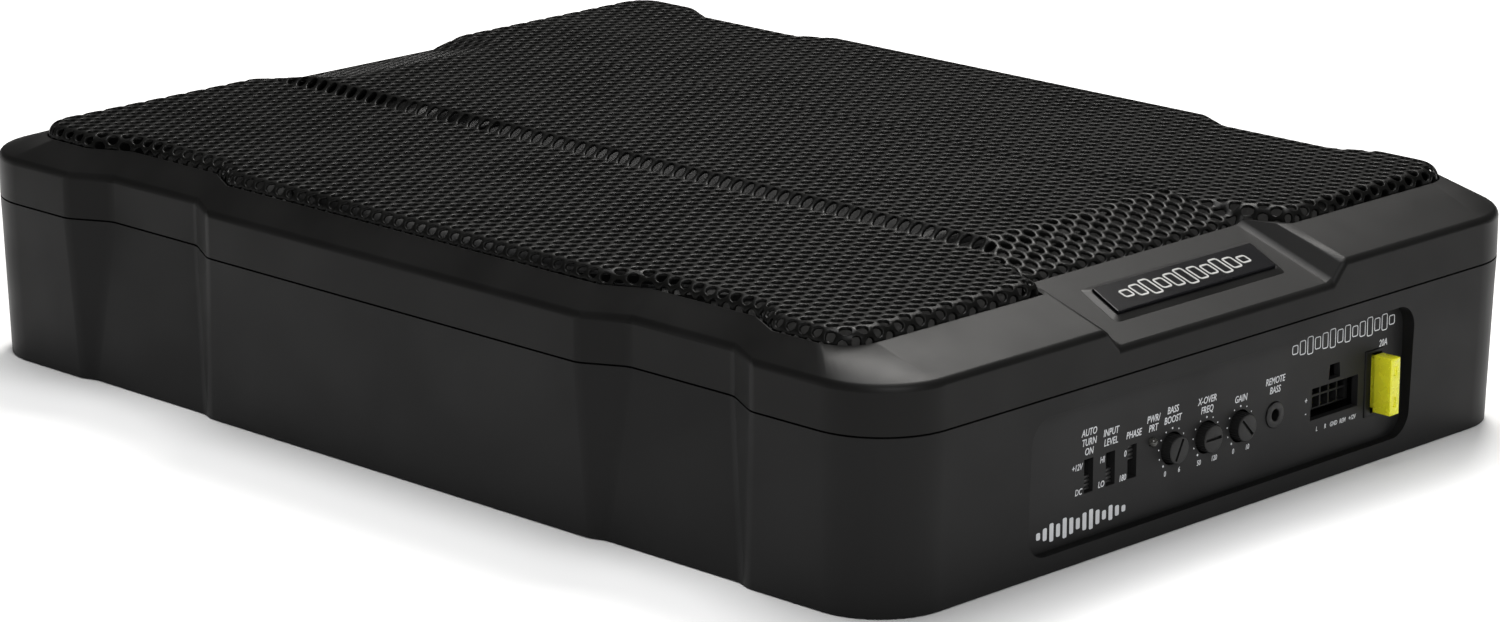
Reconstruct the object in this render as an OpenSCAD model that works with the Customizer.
// Powered car subwoofer in a flat moulded case.
// Lower shell, chamfered top cover, formed steel grille, one shallow driver
// under the grille and an amplifier behind the control panel.
// The control panel faces -Y. All lengths are in millimetres, +Z is up.

/* [Case] */
// Case width, across the short side
case_w = 303; // [240:1:380]
// Case length, along the long side
case_l = 420; // [340:1:520]
// Height of the lower shell
shell_h = 54.1; // [50:0.1:70]
// Thickness of the gasket in the seam
seam_gap = 0.6; // [0.4:0.1:1.5]
// Upright band of the cover above the seam
band_h = 14.6; // [10:0.1:20]
// Height of the rim's inner edge above the seam
rim_h = 21.8; // [18:0.1:28]
// Radius of the upright corners
corner_r = 25.5; // [15:0.5:40]
// How far the shell's walls lean in towards the floor
draft = 1.9; // [0.5:0.1:4]
// Wall thickness
wall = 3; // [2:0.1:5]

/* [Side notches] */
// Depth of each side notch at the seam
notch_d = 7.7; // [3:0.1:12]
// Depth of each side notch at the floor
notch_d_low = 3.9; // [2.5:0.1:8]

/* [Rim and badge] */
// Chamfer width along the long sides
rim_side = 8.9; // [6:0.1:14]
// Chamfer width along the short sides
rim_end = 22.8; // [16:0.1:32]
// Width of the badge recess
recess_w = 100; // [70:1:140]
// How far the badge recess reaches in from the end face
recess_in = 37.4; // [30:0.1:50]
// Width of the badge plate
badge_w = 74.5; // [50:0.5:95]
// Depth of the badge plate, up the slope
badge_d = 13.6; // [8:0.1:20]
// Thickness of the badge plate
badge_t = 1.6; // [1:0.1:3]

/* [Grille] */
// Sheet thickness of the grille
grille_t = 1; // [0.8:0.1:1.5]
// Height of the grille's flat part above the rim's inner edge
grille_up = 4.3; // [3:0.1:7]
// Rise of the raised middle strip above the flat part
strip_rise = 3.2; // [2:0.1:5]
// Width of the raised middle strip at its top
strip_w = 84; // [60:1:110]

/* [Control panel] */
// Width of the control panel window
panel_w = 181; // [172:1:210]
// Height of the control panel window
panel_h = 43.2; // [38:0.1:44]
// Corner radius of the control panel window
panel_r = 8; // [3:0.5:14]
// Thickness of the panel plate
panel_t = 2.4; // [1.5:0.1:4]
// Height of the row of controls above the floor
row_z = 24.7; // [23:0.1:27]
// Distance between slide switches
switch_pitch = 9.85; // [9:0.05:12]
// Travel of each slide switch
switch_travel = 5; // [3:0.1:5.4]
// Distance between the adjusting knobs
knob_pitch = 16.1; // [13:0.1:17]
// Diameter of each adjusting knob
knob_d = 9; // [7:0.1:11]
// Radial gap between a knob's stem and its bore
stem_gap = 0.05; // [0.02:0.01:0.1]
// Radius of the remote jack's bore
jack_r = 1.8; // [1.5:0.05:3.2]
// Distance between power connector pins
pin_pitch = 4.2; // [3.5:0.05:4.6]
// Height of the plug-in fuse head
fuse_h = 18.6; // [15:0.1:20]

/* [Driver] */
// Distance from the case side to the driver's frame
driver_gap = 11.5; // [11.5:0.1:20]
// Radius of the voice coil former, inside
coil_r = 25.1; // [20:0.1:30]
// Radius of the ring magnet
magnet_r = 60; // [48:0.5:70]
// Thickness of the ring magnet
magnet_t = 16; // [12:0.1:18]
// Number of driver screws
driver_screws = 8; // [6:1:12]

/* [Amplifier] */
// Depth of the main circuit board, away from the panel
board_d = 74; // [56:1:90]
// Height of the heatsink
sink_h = 28; // [15:1:34]
// Number of heatsink fins
sink_fins = 9; // [5:1:12]

/* [Hidden] */
$fn = 64;

hw = case_w / 2;
hl = case_l / 2;
fuse_out = 2.9;
// the fuse head stands out past the end face, so the case sits back by half of that
shift_y = fuse_out / 2;

// heights
z_seam = shell_h + seam_gap;
z_band = z_seam + band_h;
z_rim = z_seam + rim_h;
z_deck = z_seam + 7.3;
deck_t = 4;
z_ledge = z_seam + 15.4;
z_flat = z_rim + grille_up;
z_strip = z_flat + strip_rise;

// side notches, placed in proportion to the length
notch_c = hl - case_l * 0.2107;
notch_o = case_l * 0.0857;
notch_f = case_l * 0.0517;
wall_in = wall + draft;
notch_in = notch_d + wall - wall_in;

// badge recess
recess_a = 18.2;
recess_z = z_seam + 8.2;
pocket_step = 1.8;
rim_land = 0.4;
grille_gap = 0.5;
strip_end = 59.5;

// control panel, depths measured from the case's end face
panel_x = 2;
panel_z = 5.5 + panel_h / 2;
face_y = wall_in + 0.05;
back_y = face_y + panel_t;
board_y = back_y + 8.5;
switch_x = -48.1;
knob_x = 12.5;
led_x = -29.1;
led_z = row_z + 4;
jack_x = 29;
plug_x = 58.6;
plug_w = 5 * pin_pitch + 2.6;
plug_z = row_z - 0.8;
slot_w = 4.1;
nub_w = slot_w - 0.7;
nub_h = 4.4;
slot_h = nub_h + switch_travel + 1;
fuse_t = 4.6;
fuse_x = max(79.2, plug_x + plug_w / 2 + 8.8);
holder_w = 8.6;
holder_h = fuse_h + 2.9;
holder_x = fuse_x - 1.2;
fuse_back = face_y + 3.5;

// driver
driver_y = case_l * 0.043;
frame_r = min(hw - driver_gap, hl - 65);
screw_r = frame_r - 4;
roll_out = frame_r - 13;
roll_in = frame_r - 27;
hole_r = frame_r - 8.8;
z_frame = z_deck + 2;
gap_w = 2;
z_top_plate = z_deck - 27.5;
plate_t = 6.5;
z_magnet = z_top_plate - plate_t - magnet_t;
former_t = 0.3;
wind_t = 0.8;
shelf_r = magnet_r + 2;
z_shelf = z_top_plate + 8;
cap_r = coil_r + 13;

// amplifier
board_w = min(252, case_w - 51);
board_z = 8;
board_t = 1.6;
board_top = board_z + board_t + 0.05;
sink_x = 16 - board_w / 2;
sink_w = board_w * 0.5;
can_r = 8.5;
can_x = sink_x + sink_w + can_r + 0.7;
board_y0 = back_y + 1.5;
sink_y = board_y0 + board_d - 20;

// case screws, as [x, y]: those under the rim's hollow, then those under the deck
rim_screws = concat(
    [for (sx = [-1, 1]) for (sy = [-1, 1]) [sx * (hw - 17), sy * (hl - 17)]],
    [for (sx = [-1, 1]) [sx * case_w * 0.2, hl - 11]]);
deck_screws = [for (sx = [-1, 1]) for (sy = [-1, 1]) [sx * (hw - 10.6), sy * case_l * 0.181]];
screw_xy = concat(rim_screws, deck_screws);
board_xy = [for (sx = [-1, 1]) for (y = [13, board_d - 7]) [sx * (board_w / 2 - 7), board_y0 + y]];

// ---------- outlines ----------

function arc(cx, cy, r, a, n) =
    [for (i = [0:n]) [cx + r * cos(a + 90 * i / n), cy + r * sin(a + 90 * i / n)]];

function notches(x, d) = [for (c = [-notch_c, notch_c]) each
    [[x, c - notch_o], [x - d, c - notch_f], [x - d, c + notch_f], [x, c + notch_o]]];

function flip_side(p) = [for (i = [len(p) - 1:-1:0]) [-p[i][0], p[i][1]]];

// plan outline, inset by ix at the sides and iy at the ends, with notches d deep
function ring(ix, iy, r, d, n = 12) = concat(
    arc(hw - ix - r, iy + r - hl, r, -90, n),
    notches(hw - ix, d),
    arc(hw - ix - r, hl - iy - r, r, 0, n),
    arc(ix + r - hw, hl - iy - r, r, 90, n),
    flip_side(notches(hw - ix, d)),
    arc(ix + r - hw, iy + r - hl, r, 180, n));

module slab(z0, z1, pts) {
    translate([0, 0, z0]) linear_extrude(z1 - z0) polygon(pts);
}

module rounded(w, h, r) {
    square([w - 2 * r, h], center = true);
    square([w, h - 2 * r], center = true);
    for (sx = [-1, 1]) for (sy = [-1, 1])
        translate([sx * (w / 2 - r), sy * (h / 2 - r)]) circle(r, $fn = 32);
}

module at_case() {
    translate([0, shift_y, 0]) children();
}

// a flat shape in X-Z, pushed out between two depths behind the end face
module press(x, z, y0, y1) {
    translate([x, y1 - hl, z]) rotate([90, 0, 0]) linear_extrude(y1 - y0) children();
}

module rod_y(x, z, y0, y1, r) {
    translate([x, y1 - hl, z]) rotate([90, 0, 0]) cylinder(r = r, h = y1 - y0, $fn = 48);
}

module block_y(x, z, y0, y1, w, h) {
    translate([x - w / 2, y0 - hl, z - h / 2]) cube([w, y1 - y0, h]);
}

// removes everything above a ramp that climbs away from an end face
module ramp_cut(w, y, z, a, flare, len) {
    translate([0, y - hl, z]) rotate([a, 0, 0]) translate([0, len, 0]) rotate([90, 0, 0])
        linear_extrude(len + 40)
            polygon([[-w / 2, 0], [w / 2, 0], [w / 2 + flare * 30, 30], [-w / 2 - flare * 30, 30]]);
}

// ---------- case ----------

module drafted_block() {
    intersection() {
        rotate([90, 0, 0]) linear_extrude(case_l + 2, center = true)
            polygon([[draft - hw, 0], [hw - draft, 0], [hw, shell_h], [-hw, shell_h]]);
        rotate([90, 0, 90]) linear_extrude(case_w + 2, center = true)
            polygon([[draft - hl, 0], [hl - draft, 0], [hl, shell_h], [-hl, shell_h]]);
    }
}

module corner_cut() {
    slope = draft / shell_h;
    difference() {
        translate([0, 0, -1]) cube([corner_r + 2, corner_r + 2, shell_h + 2]);
        translate([0, 0, -2]) cylinder(r1 = corner_r - draft - 2 * slope,
            r2 = corner_r + 2 * slope, h = shell_h + 4, $fn = 96);
    }
}

module notch_cut() {
    lean = (notch_d - notch_d_low) / shell_h;
    difference() {
        translate([0, 0, -1]) linear_extrude(shell_h + 2)
            polygon([[30, -notch_o - 30 * (notch_o - notch_f) / notch_d], [0, -notch_o],
                [-notch_d, -notch_f], [-notch_d, notch_f], [0, notch_o],
                [30, notch_o + 30 * (notch_o - notch_f) / notch_d]]);
        rotate([90, 0, 0]) linear_extrude(case_l, center = true)
            polygon([[-notch_d - 10, -2], [-notch_d_low + 2 * lean, -2],
                [-notch_d - 2 * lean, shell_h + 2], [-notch_d - 10, shell_h + 2]]);
    }
}

module lower_shell() {
    color([0.17, 0.17, 0.17]) at_case() difference() {
        union() {
            difference() {
                drafted_block();
                for (sx = [0, 1]) for (sy = [0, 1]) mirror([sx, 0, 0]) mirror([0, sy, 0]) {
                    translate([hw - corner_r, hl - corner_r, 0]) corner_cut();
                    translate([hw, notch_c, 0]) notch_cut();
                }
                slab(wall, shell_h + 1, ring(wall_in, wall_in, corner_r - wall_in, notch_in));
            }
            for (p = screw_xy)
                translate([p[0], p[1], wall - 0.5]) cylinder(r = 5, h = shell_h - wall + 0.5, $fn = 32);
            for (p = board_xy)
                translate([p[0], p[1] - hl, wall - 0.5]) cylinder(r = 4, h = board_z - wall + 0.5, $fn = 32);
        }
        for (p = screw_xy) translate([p[0], p[1], -1]) {
            cylinder(r = 2, h = shell_h + 2, $fn = 32);
            cylinder(r = 3.7, h = 3.2, $fn = 32);
        }
        for (p = board_xy)
            translate([p[0], p[1] - hl, wall]) cylinder(r = 1.3, h = board_z, $fn = 24);
        press(panel_x, panel_z, -3, wall_in + 1) rounded(panel_w, panel_h, panel_r);
    }
}

// takes away what lies outside a plane that leans in from x0 at z_band to x1 at z_rim
module lean_cut(x0, x1, w) {
    s = (x0 - x1) / (z_rim - z_band);
    rotate([90, 0, 0]) linear_extrude(w, center = true)
        polygon([[x0 + 2 * s, z_band - 2], [x1 - 4 * s, z_rim + 4], [x0 + 40, z_rim + 4], [x0 + 40, z_band - 2]]);
}

// the notch carried up the leaning face, at the same depth
module lean_notch() {
    a = atan(rim_side / (z_rim - z_band));
    c = cos(a);
    o = notch_o - 0.1;
    f = notch_f - 0.1;
    rotate([0, -a, 0]) translate([0, 0, -12]) linear_extrude(40)
        polygon([[20, -o - 20 / c * (o - f) / notch_d], [0, -o], [-notch_d * c, -f],
            [-notch_d * c, f], [0, o], [20, o + 20 / c * (o - f) / notch_d]]);
}

module cover_outer() {
    r = 13;
    n = 12;
    difference() {
        slab(z_seam, z_rim, ring(0, 0, corner_r, notch_d, n));
        for (a = [0, 180]) rotate(a) {
            lean_cut(hw, hw - rim_side, case_l);
            rotate(90) lean_cut(hl, hl - rim_end, case_w);
        }
        for (sx = [0, 1]) for (sy = [0, 1]) mirror([sx, 0, 0]) mirror([0, sy, 0]) {
            for (k = [0:n - 1]) let (m = 90 * (k + 0.5) / n, h = cos(45 / n))
                translate([hw - corner_r, hl - corner_r, 0]) rotate(m)
                    lean_cut(corner_r * h, (corner_r - rim_side - r) * cos(m)
                        + (corner_r - rim_end - r) * sin(m) + r * h, 80);
            translate([hw + 0.05, notch_c, z_band]) lean_notch();
        }
    }
}

// the inner wall of the rim, with the block that carries the badge
module rim_opening(extra) {
    e = extra + rim_land;
    b = recess_w / 2 + 2 + extra;
    difference() {
        polygon(ring(rim_side + e, rim_end + e, 13 - e, notch_d));
        translate([0, -hl]) polygon([[-b - 8, -1], [b + 8, -1], [b + 8, rim_end - 3],
            [b, recess_in + extra], [-b, recess_in + extra], [-b - 8, rim_end - 3]]);
    }
}

module cover_band() {
    difference() {
        slab(z_deck - deck_t - 0.5, z_ledge - 4,
            ring(wall, wall, corner_r - wall, notch_d));
        slab(z_deck - deck_t - 1, z_ledge,
            ring(rim_side - 1, rim_end - 2, 15, notch_d));
        translate([0, -hl, z_deck]) cube([recess_w + 50, 2 * recess_in + 8, 60], center = true);
    }
}

module top_cover() {
    color([0.19, 0.19, 0.185]) at_case() difference() {
        union() {
            difference() {
                cover_outer();
                slab(z_seam - 1, z_deck - deck_t, ring(wall, wall, corner_r - wall, notch_d));
                cover_band();
                translate([0, 0, z_deck]) linear_extrude(40) rim_opening(pocket_step);
                translate([0, 0, z_ledge]) linear_extrude(40) rim_opening(0);
                ramp_cut(recess_w, 0, recess_z, recess_a, 1, 60);
                translate([0, driver_y, z_deck - 20]) cylinder(r = hole_r, h = 30, $fn = 128);
            }
            for (p = rim_screws)
                translate([p[0], p[1], z_seam]) cylinder(r = 5, h = z_ledge - 3.5 - z_seam, $fn = 32);
            for (p = deck_screws)
                translate([p[0], p[1], z_seam]) cylinder(r = 5, h = z_deck - z_seam - 1, $fn = 32);
            for (k = [0:driver_screws - 1]) rotate_driver(k)
                translate([screw_r, 0, z_deck - 9]) cylinder(r = 3.6, h = 8, $fn = 24);
        }
        for (p = screw_xy)
            translate([p[0], p[1], z_seam - 1]) cylinder(r = 1.75, h = z_deck - z_seam - 0.2, $fn = 24);
        for (k = [0:driver_screws - 1]) rotate_driver(k)
            translate([screw_r, 0, z_deck - 8]) cylinder(r = 1.7, h = 20, $fn = 24);
    }
}

module seam_gasket() {
    color([0.03, 0.03, 0.03]) at_case() difference() {
        slab(shell_h, z_seam, ring(1.2, 1.2, corner_r - 1.2, notch_d));
        slab(shell_h - 1, z_seam + 1, ring(wall, wall, corner_r - wall, notch_d));
    }
}

module cover_screws() {
    color([0.45, 0.45, 0.46]) at_case() for (p = screw_xy) translate([p[0], p[1], 0]) {
        difference() {
            translate([0, 0, 0.3]) cylinder(r = 3.3, h = 1.9, $fn = 32);
            for (a = [0, 90]) rotate(a) cube([4, 0.9, 2.4], center = true);
        }
        translate([0, 0, 2.1]) cylinder(r = 1.7, h = z_deck - 1.6 - 2.1, $fn = 24);
    }
}

// ---------- grille and badge ----------

// outer form of the pressed sheet, drawn in by o and down by t
module grille_form(o, t) {
    g = grille_gap + o;
    top = strip_w / 2 - t;
    foot = top + strip_rise * 1.2;
    difference() {
        union() {
            translate([0, 0, z_ledge + 0.1 - 2 * t]) linear_extrude(z_flat - z_ledge - 0.1 + t)
                rim_opening(g);
            intersection() {
                rotate([90, 0, 0]) linear_extrude(case_l, center = true)
                    polygon([[-foot, z_flat - t], [foot, z_flat - t], [top, z_strip - t], [-top, z_strip - t]]);
                translate([0, 0, z_ledge]) linear_extrude(40) rim_opening(g);
            }
        }
        ramp_cut(recess_w - 2 * t, recess_in, z_rim - 0.9 - t,
            atan((strip_rise + grille_up + 0.9) / (strip_end - recess_in)), 1, 60);
        rotate([0, 0, 180]) ramp_cut(64 - 2 * t, rim_end, z_rim - t,
            atan((strip_rise + grille_up) / (strip_end - rim_end)), 5, 80);
    }
}

module grille() {
    color([0.09, 0.09, 0.09]) at_case() difference() {
        grille_form(0, 0);
        grille_form(grille_t, grille_t);
    }
}

module badge_plate() {
    lean = badge_d * tan(12) / 2;
    color([0.04, 0.04, 0.045]) at_case() translate([2.3, -hl, recess_z]) rotate([recess_a, 0, 0])
        translate([0, recess_in * 0.56, 0.05]) linear_extrude(badge_t)
            polygon([[-badge_w / 2 - lean, -badge_d / 2], [badge_w / 2 - lean, -badge_d / 2],
                [badge_w / 2 + lean, badge_d / 2], [lean - badge_w / 2, badge_d / 2]]);
}

// ---------- control panel ----------

module control_panel() {
    color([0.16, 0.16, 0.16]) at_case() difference() {
        press(panel_x, panel_z, face_y, back_y) rounded(panel_w + 8, panel_h + 4.4, panel_r);
        for (i = [-1:1]) block_y(switch_x + i * switch_pitch, row_z, 0, 20, slot_w, slot_h);
        rod_y(led_x, led_z, 0, 20, 1.6);
        for (i = [0:2]) rod_y(knob_x - i * knob_pitch, row_z, 0, 20, knob_d / 2 + 0.7);
        rod_y(jack_x, row_z, 0, 20, jack_r + 2.45);
        block_y(plug_x, plug_z, 0, 20, plug_w, 2 * pin_pitch + 1.8);
        press(plug_x - 0.2, plug_z + pin_pitch + 4.4, 0, 20)
            polygon([[-2.9, -2.3], [2.9, -2.3], [2.4, 2.5], [-2.4, 2.5]]);
        block_y(holder_x, row_z, 0, 20, holder_w + 0.2, holder_h + 0.2);
    }
}

module switch_body(x) {
    difference() {
        block_y(x, row_z, back_y + 0.1, board_y - 0.05, switch_pitch - 1.2, slot_h + 4);
        block_y(x, row_z, 0, back_y + 4.6, slot_w, slot_h - 0.2);
    }
}

// s is -1 for a slider resting low and 1 for one resting high
module slider(x, s) {
    z = row_z + s * switch_travel / 2;
    difference() {
        block_y(x, z, face_y + 1.2, back_y + 4.2, nub_w, nub_h);
        for (k = [-1:1]) block_y(x, z + k * 1.3, face_y, face_y + 1.6, nub_w + 1, 0.5);
    }
}

module turn_on_switch() {
    color([0.1, 0.1, 0.1]) at_case() switch_body(switch_x - switch_pitch);
}

module turn_on_slider() {
    color([0.06, 0.06, 0.06]) at_case() slider(switch_x - switch_pitch, -1);
}

module level_switch() {
    color([0.1, 0.1, 0.1]) at_case() switch_body(switch_x);
}

module level_slider() {
    color([0.06, 0.06, 0.06]) at_case() slider(switch_x, -1);
}

module phase_switch() {
    color([0.1, 0.1, 0.1]) at_case() switch_body(switch_x + switch_pitch);
}

module phase_slider() {
    color([0.06, 0.06, 0.06]) at_case() slider(switch_x + switch_pitch, 1);
}

module power_led() {
    color([0.5, 0.5, 0.48]) at_case() {
        rod_y(led_x, led_z, face_y - 0.3, board_y - 0.05, 1.5);
        translate([led_x, face_y - 0.3 - hl, led_z]) sphere(r = 1.5, $fn = 24);
    }
}

module pot_body(x) {
    difference() {
        block_y(x, row_z, back_y + 2, board_y - 0.05, knob_d + 2, knob_d + 3.5);
        rod_y(x, row_z, back_y + 1, board_y - 1.5, 1.5 + stem_gap);
    }
}

// a is the angle of the screwdriver slot, clockwise from upright as seen from outside
module knob(x, a) {
    difference() {
        union() {
            rod_y(x, row_z, face_y - 3, back_y + 1.2, knob_d / 2);
            rod_y(x, row_z, back_y + 1, board_y - 2, 1.5);
        }
        translate([x, face_y - 3 - hl, row_z]) rotate([0, a, 0])
            cube([1, 1.8, knob_d * 0.82], center = true);
    }
}

module boost_pot() {
    color([0.2, 0.2, 0.22]) at_case() pot_body(knob_x - 2 * knob_pitch);
}

module boost_knob() {
    color([0.14, 0.14, 0.14]) at_case() knob(knob_x - 2 * knob_pitch, 27);
}

module crossover_pot() {
    color([0.2, 0.2, 0.22]) at_case() pot_body(knob_x - knob_pitch);
}

module crossover_knob() {
    color([0.14, 0.14, 0.14]) at_case() knob(knob_x - knob_pitch, -90);
}

module gain_pot() {
    color([0.2, 0.2, 0.22]) at_case() pot_body(knob_x);
}

module gain_knob() {
    color([0.14, 0.14, 0.14]) at_case() knob(knob_x, -44);
}

module remote_jack() {
    r = jack_r + 2.4;
    color([0.08, 0.08, 0.08]) at_case() difference() {
        union() {
            rod_y(jack_x, row_z, face_y - 0.5, back_y + 1, r);
            block_y(jack_x, row_z, back_y + 0.1, board_y - 0.05, 2 * r + 2.4, 2 * r + 3);
        }
        rod_y(jack_x, row_z, face_y - 2, board_y - 0.8, jack_r);
    }
}

module control_board() {
    x0 = switch_x - 1.5 * switch_pitch - 4;
    x1 = jack_x + 8;
    z0 = board_top + 0.1;
    z1 = z_deck - deck_t - 12;
    color([0.05, 0.2, 0.1]) at_case()
        translate([x0, board_y - hl, z0]) cube([x1 - x0, board_t, z1 - z0]);
}

module power_connector() {
    y0 = back_y + 1.6;
    z = plug_z + 0.9;
    h = 2 * pin_pitch + 0.4;
    color([0.05, 0.05, 0.05]) at_case() difference() {
        union() {
            block_y(plug_x, z, y0, y0 + 12, plug_w - 0.4, h);
            translate([plug_x - plug_w / 2 + 0.2, y0 + 7 - hl, board_top])
                cube([plug_w - 0.4, 5, z - board_top]);
        }
        for (i = [-2:2]) for (k = [-0.5, 0.5])
            block_y(plug_x + i * pin_pitch, z + k * pin_pitch, y0 - 1, y0 + 9,
                pin_pitch - 0.7, pin_pitch - 0.7);
        for (i = [-2:2]) for (k = [-0.5, 0.5])
            rod_y(plug_x + i * pin_pitch, z + k * pin_pitch, y0 + 8, y0 + 13, 0.6);
    }
}

module connector_pins() {
    y0 = back_y + 1.6;
    z = plug_z + 0.9;
    color([0.75, 0.7, 0.5]) at_case() for (i = [-2:2]) for (k = [-0.5, 0.5]) {
        x = plug_x + i * pin_pitch;
        y1 = y0 + 14 + (k + 0.5) * 2.4;
        rod_y(x, z + k * pin_pitch, y0 + 2, y1, 0.58);
        translate([x - 0.45, y1 - 1.1 - hl, board_top])
            cube([0.9, 0.9, z + k * pin_pitch - board_top]);
    }
}

module fuse_holder() {
    h = fuse_h;
    color([0.05, 0.05, 0.05]) at_case() difference() {
        union() {
            block_y(holder_x, row_z, face_y - 0.4, back_y + 13, holder_w, holder_h);
            translate([holder_x - holder_w / 2, back_y + 8 - hl, board_top])
                cube([holder_w, 5, row_z - board_top]);
        }
        block_y(fuse_x, row_z, 0, fuse_back + 0.4, fuse_t + 0.7, h + 0.8);
        for (s = [-1, 1]) block_y(fuse_x, row_z + s * h * 0.3, 0, fuse_back + 10, 4, 6.4);
    }
}

module fuse_contacts() {
    color([0.7, 0.6, 0.35]) at_case() for (s = [-1, 1]) {
        z = row_z + s * fuse_h * 0.3;
        for (k = [-1, 1]) block_y(fuse_x + k * 1.1, z, fuse_back + 1.5, fuse_back + 9.6, 0.5, 5.6);
        block_y(fuse_x, z, fuse_back + 9.1, fuse_back + 9.6, 2.7, 5.6);
    }
}

module fuse_body() {
    color([0.78, 0.76, 0.12]) at_case() difference() {
        union() {
            block_y(fuse_x, row_z, -fuse_out, face_y - 1, fuse_t, fuse_h);
            block_y(fuse_x, row_z, face_y - 1.5, fuse_back, fuse_t - 1, fuse_h - 2.4);
        }
        for (s = [-1, 1]) block_y(fuse_x, row_z + s * 5, -fuse_out - 1, -fuse_out + 0.6, 1.4, 3);
    }
}

module fuse_blades() {
    color([0.7, 0.7, 0.68]) at_case() for (s = [-1, 1])
        block_y(fuse_x, row_z + s * fuse_h * 0.3, fuse_back + 0.02, fuse_back + 7.5, 0.7, 5.2);
}

// ---------- driver ----------

module rotate_driver(k) {
    translate([0, driver_y, 0]) rotate([0, 0, (k + 0.5) * 360 / driver_screws]) children();
}

module turn(pts) {
    translate([0, driver_y, 0]) rotate_extrude($fn = 128) polygon(pts);
}

module basket() {
    t = 1.6;
    color([0.12, 0.12, 0.12]) at_case() difference() {
        turn([[coil_r + 6, z_top_plate], [shelf_r - 4, z_top_plate], [shelf_r - 4, z_shelf - t],
            [shelf_r + 6, z_shelf - t], [roll_out, z_deck - 8], [roll_out, z_deck + 0.05],
            [frame_r, z_deck + 0.05], [frame_r, z_frame], [roll_out - t, z_frame],
            [roll_out - t, z_deck - 8 + t], [shelf_r + 5, z_shelf], [shelf_r - 4 - t, z_shelf],
            [shelf_r - 4 - t, z_top_plate + t], [coil_r + 6, z_top_plate + t]]);
        for (k = [0:5]) translate([0, driver_y, 0]) rotate([0, 0, 60 * k])
            translate([shelf_r + 11, 0, z_shelf]) linear_extrude(60, center = true)
                polygon([[0, -20], [0, 20], [roll_out - shelf_r - 20, 36], [roll_out - shelf_r - 20, -36]]);
        for (k = [0:driver_screws - 1]) rotate_driver(k)
            translate([screw_r, 0, 0]) cylinder(r = 2.2, h = 200, $fn = 24);
    }
}

module basket_screws() {
    color([0.2, 0.2, 0.21]) at_case() for (k = [0:driver_screws - 1]) rotate_driver(k)
        translate([screw_r, 0, 0]) {
            difference() {
                translate([0, 0, z_frame + 0.05]) cylinder(r = 3.4, h = 2.2, $fn = 32);
                for (a = [0, 90]) rotate(a)
                    translate([0, 0, z_frame + 2.3]) cube([4, 0.9, 2], center = true);
            }
            translate([0, 0, z_deck - 7]) cylinder(r = 1.65, h = z_frame - z_deck + 7.2, $fn = 24);
        }
}

module yoke() {
    pole = coil_r - 0.5;
    color([0.3, 0.3, 0.31]) at_case() turn([[7, z_magnet - 6], [magnet_r - 4, z_magnet - 6],
        [magnet_r - 3, z_magnet - 5], [magnet_r - 3, z_magnet], [pole, z_magnet],
        [pole, z_top_plate - 0.1], [pole - 1.5, z_top_plate], [7, z_top_plate]]);
}

module ring_magnet() {
    color([0.13, 0.13, 0.13]) at_case() turn([[coil_r + 5, z_magnet], [magnet_r, z_magnet],
        [magnet_r, z_magnet + magnet_t], [coil_r + 5, z_magnet + magnet_t]]);
}

module top_plate() {
    r = coil_r - 0.5 + gap_w;
    z = z_magnet + magnet_t;
    color([0.32, 0.32, 0.33]) at_case()
        turn([[r, z], [magnet_r - 3, z], [magnet_r - 3, z_top_plate], [r, z_top_plate]]);
}

module coil_former() {
    r = coil_r + former_t;
    color([0.6, 0.5, 0.25]) at_case()
        turn([[coil_r, z_top_plate - 14], [r, z_top_plate - 14], [r, z_top_plate + 17], [coil_r, z_top_plate + 17]]);
}

module voice_coil() {
    r = coil_r + former_t;
    color([0.72, 0.4, 0.2]) at_case()
        turn([[r, z_top_plate - 13], [r + wind_t, z_top_plate - 13], [r + wind_t, z_top_plate + 6], [r, z_top_plate + 6]]);
}

// corrugated cloth disc; waves between the former and the shelf
function wave(u) = 1.4 * sin(360 * 4 * u) * min(1, 8 * u, 8 * (1 - u));

module spider() {
    r0 = coil_r + former_t;
    r1 = shelf_r - 5.5;
    n = 48;
    z = z_shelf + 0.05;
    up = [for (i = [0:n]) [r0 + (r1 - r0) * i / n, z + 0.8 + wave(i / n)]];
    dn = [for (i = [n:-1:0]) [r0 + (r1 - r0) * i / n, z + wave(i / n)]];
    color([0.65, 0.5, 0.3]) at_case()
        turn(concat(up, [[shelf_r + 4, z + 0.8], [shelf_r + 4, z]], dn));
}

// underside of the cone at radius r
function cone_z(r) = z_top_plate + 14 + (z_frame - z_top_plate - 15.2)
    * pow((r - coil_r - former_t) / (roll_in - 4 - coil_r - former_t), 0.85);

module cone() {
    r0 = coil_r + former_t;
    z1 = z_frame - 1.2;
    n = 10;
    lower = [for (i = [0:n]) let (r = r0 + (roll_in - 4 - r0) * i / n) [r, cone_z(r)]];
    upper = [for (i = [n:-1:0]) [lower[i][0], lower[i][1] + 1.2]];
    color([0.1, 0.1, 0.1]) at_case()
        turn(concat(lower, [[roll_in, z1], [roll_in, z1 + 1.2]], upper));
}

module dust_cap() {
    r0 = cap_r;
    n = 14;
    z = cone_z(r0) + 1.2;
    outer = [for (i = [0:n]) [r0 * cos(90 * i / n), z + 9 * sin(90 * i / n)]];
    inner = [for (i = [n:-1:0]) [(r0 - 1) * cos(90 * i / n), z + 8 * sin(90 * i / n)]];
    color([0.12, 0.12, 0.12]) at_case() turn([for (p = concat(outer, inner)) [max(p[0], 0), p[1]]]);
}

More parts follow.
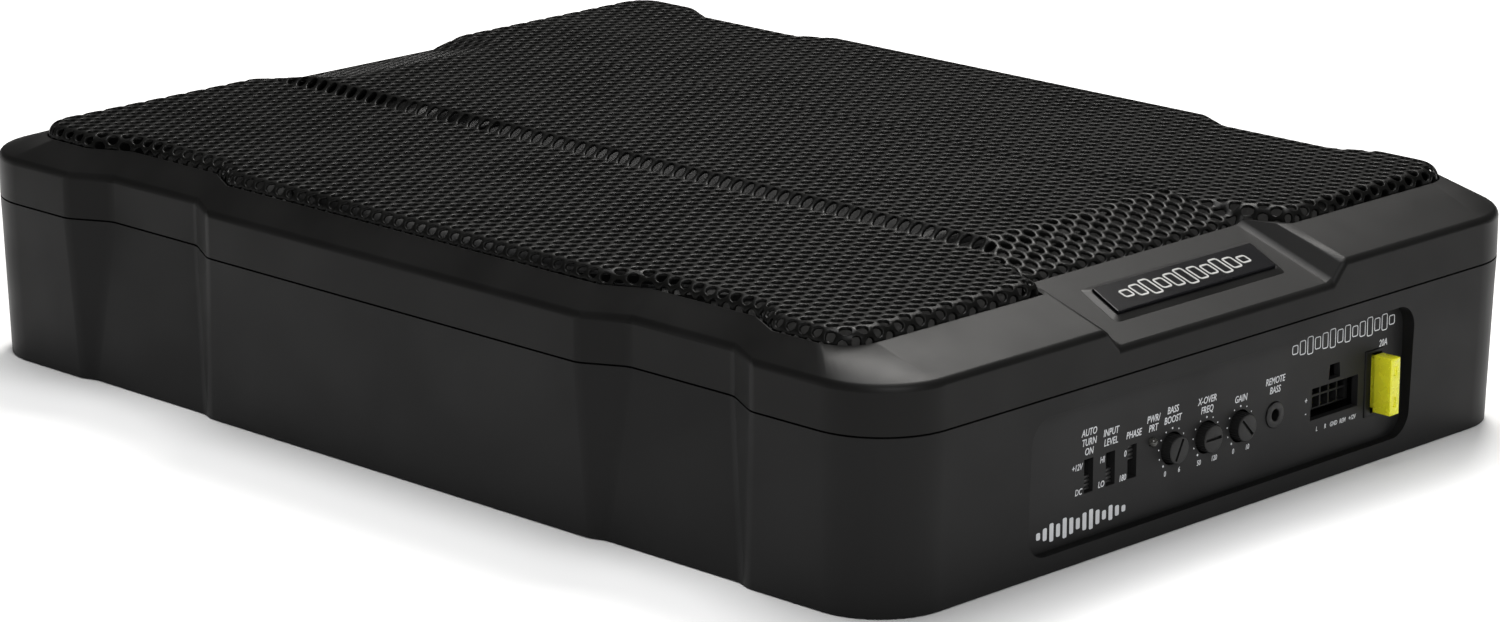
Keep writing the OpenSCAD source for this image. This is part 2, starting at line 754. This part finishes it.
module surround() {
    z = z_frame + 0.05;
    c = (roll_in + roll_out) / 2;
    r = (roll_out - roll_in) / 2;
    n = 16;
    outer = [for (i = [0:n]) [c - r * cos(180 * i / n), z + 1 + r * sin(180 * i / n)]];
    inner = [for (i = [n:-1:0]) [c - (r - 0.9) * cos(180 * i / n), z + (r - 0.9) * sin(180 * i / n)]];
    color([0.06, 0.06, 0.06]) at_case() turn(concat(
        [[roll_in - 7, z], [roll_in - 7, z + 1]], outer, [[roll_out + 5, z + 1], [roll_out + 5, z]], inner));
}

module frame_gasket() {
    z = z_frame + 1.1;
    color([0.05, 0.05, 0.05]) at_case() turn([[roll_out + 0.4, z], [roll_out + 5, z],
        [roll_out + 5, z + 2.4], [roll_out + 4, z + 3], [roll_out + 0.4, z + 3]]);
}

module driver_terminals() {
    z = z_deck - 9.5;
    color([0.6, 0.55, 0.35]) at_case() translate([0, driver_y, z])
        intersection() {
            difference() {
                cylinder(r = roll_out + 2.8, h = 5, $fn = 128);
                translate([0, 0, -1]) cylinder(r = roll_out + 0.1, h = 7, $fn = 128);
            }
            for (s = [-1, 1]) translate([s * 8 - 4, -200, -1]) cube([8, 200, 8]);
        }
}

// ---------- amplifier ----------

module main_board() {
    color([0.05, 0.22, 0.1]) at_case() difference() {
        translate([-board_w / 2, board_y0 - hl, board_z + 0.02]) cube([board_w, board_d, board_t]);
        for (p = board_xy) translate([p[0], p[1] - hl, 0]) cylinder(r = 1.7, h = 40, $fn = 24);
    }
}

module board_screws() {
    color([0.6, 0.6, 0.6]) at_case() for (p = board_xy) translate([p[0], p[1] - hl, 0]) {
        translate([0, 0, board_top]) cylinder(r = 2.8, h = 1.8, $fn = 32);
        translate([0, 0, wall + 0.4]) cylinder(r = 1.25, h = board_top - wall, $fn = 24);
    }
}

module heatsink() {
    color([0.62, 0.63, 0.65]) at_case() translate([sink_x, sink_y - hl, board_top]) {
        cube([sink_w, 4, sink_h]);
        for (i = [0:sink_fins - 1])
            translate([i * (sink_w - 2) / (sink_fins - 1), 3.5, 0]) cube([2, 11, sink_h]);
    }
}

module power_transistors() {
    color([0.05, 0.05, 0.05]) at_case() for (i = [0:4])
        translate([sink_x + sink_w * (i + 0.5) / 5, sink_y - hl - 0.05, board_top]) difference() {
            translate([-5, -4.5, 3]) cube([10, 4.5, 16]);
            translate([-6, -5, 13.5]) cube([12, 3.2, 7]);
            translate([0, 1, 16.5]) rotate([90, 0, 0]) cylinder(r = 1.6, h = 8, $fn = 24);
        }
}

module filter_capacitors() {
    color([0.08, 0.09, 0.12]) at_case() for (i = [0:2])
        translate([can_x + i * (2 * can_r + 4), sink_y - hl + 2, board_top]) difference() {
            cylinder(r = can_r, h = sink_h, $fn = 48);
            translate([0, 0, 3]) difference() {
                cylinder(r = can_r + 1, h = 1.2, $fn = 48);
                translate([0, 0, -1]) cylinder(r = can_r - 0.6, h = 4, $fn = 48);
            }
            for (a = [0, 90]) rotate(a)
                translate([0, 0, sink_h]) cube([can_r, 0.8, 1], center = true);
        }
}

module toroid(x, y, r, t) {
    translate([x, y - hl, board_top + t]) rotate_extrude($fn = 64) translate([r, 0]) circle(t, $fn = 32);
}

module power_toroid() {
    color([0.6, 0.35, 0.12]) at_case() toroid(-board_w * 0.32, board_y0 + 28, 12, 5.5);
}

module output_choke() {
    color([0.65, 0.4, 0.15]) at_case() toroid(-board_w * 0.14, board_y0 + 28, 9, 4.2);
}

// ---------- assembly ----------

lower_shell();
top_cover();
seam_gasket();
cover_screws();
grille();
badge_plate();
control_panel();
turn_on_switch();
turn_on_slider();
level_switch();
level_slider();
phase_switch();
phase_slider();
power_led();
boost_pot();
boost_knob();
crossover_pot();
crossover_knob();
gain_pot();
gain_knob();
remote_jack();
control_board();
power_connector();
connector_pins();
fuse_holder();
fuse_contacts();
fuse_body();
fuse_blades();
basket();
basket_screws();
yoke();
ring_magnet();
top_plate();
coil_former();
voice_coil();
spider();
cone();
dust_cap();
surround();
frame_gasket();
driver_terminals();
main_board();
board_screws();
heatsink();
power_transistors();
filter_capacitors();
power_toroid();
output_choke();
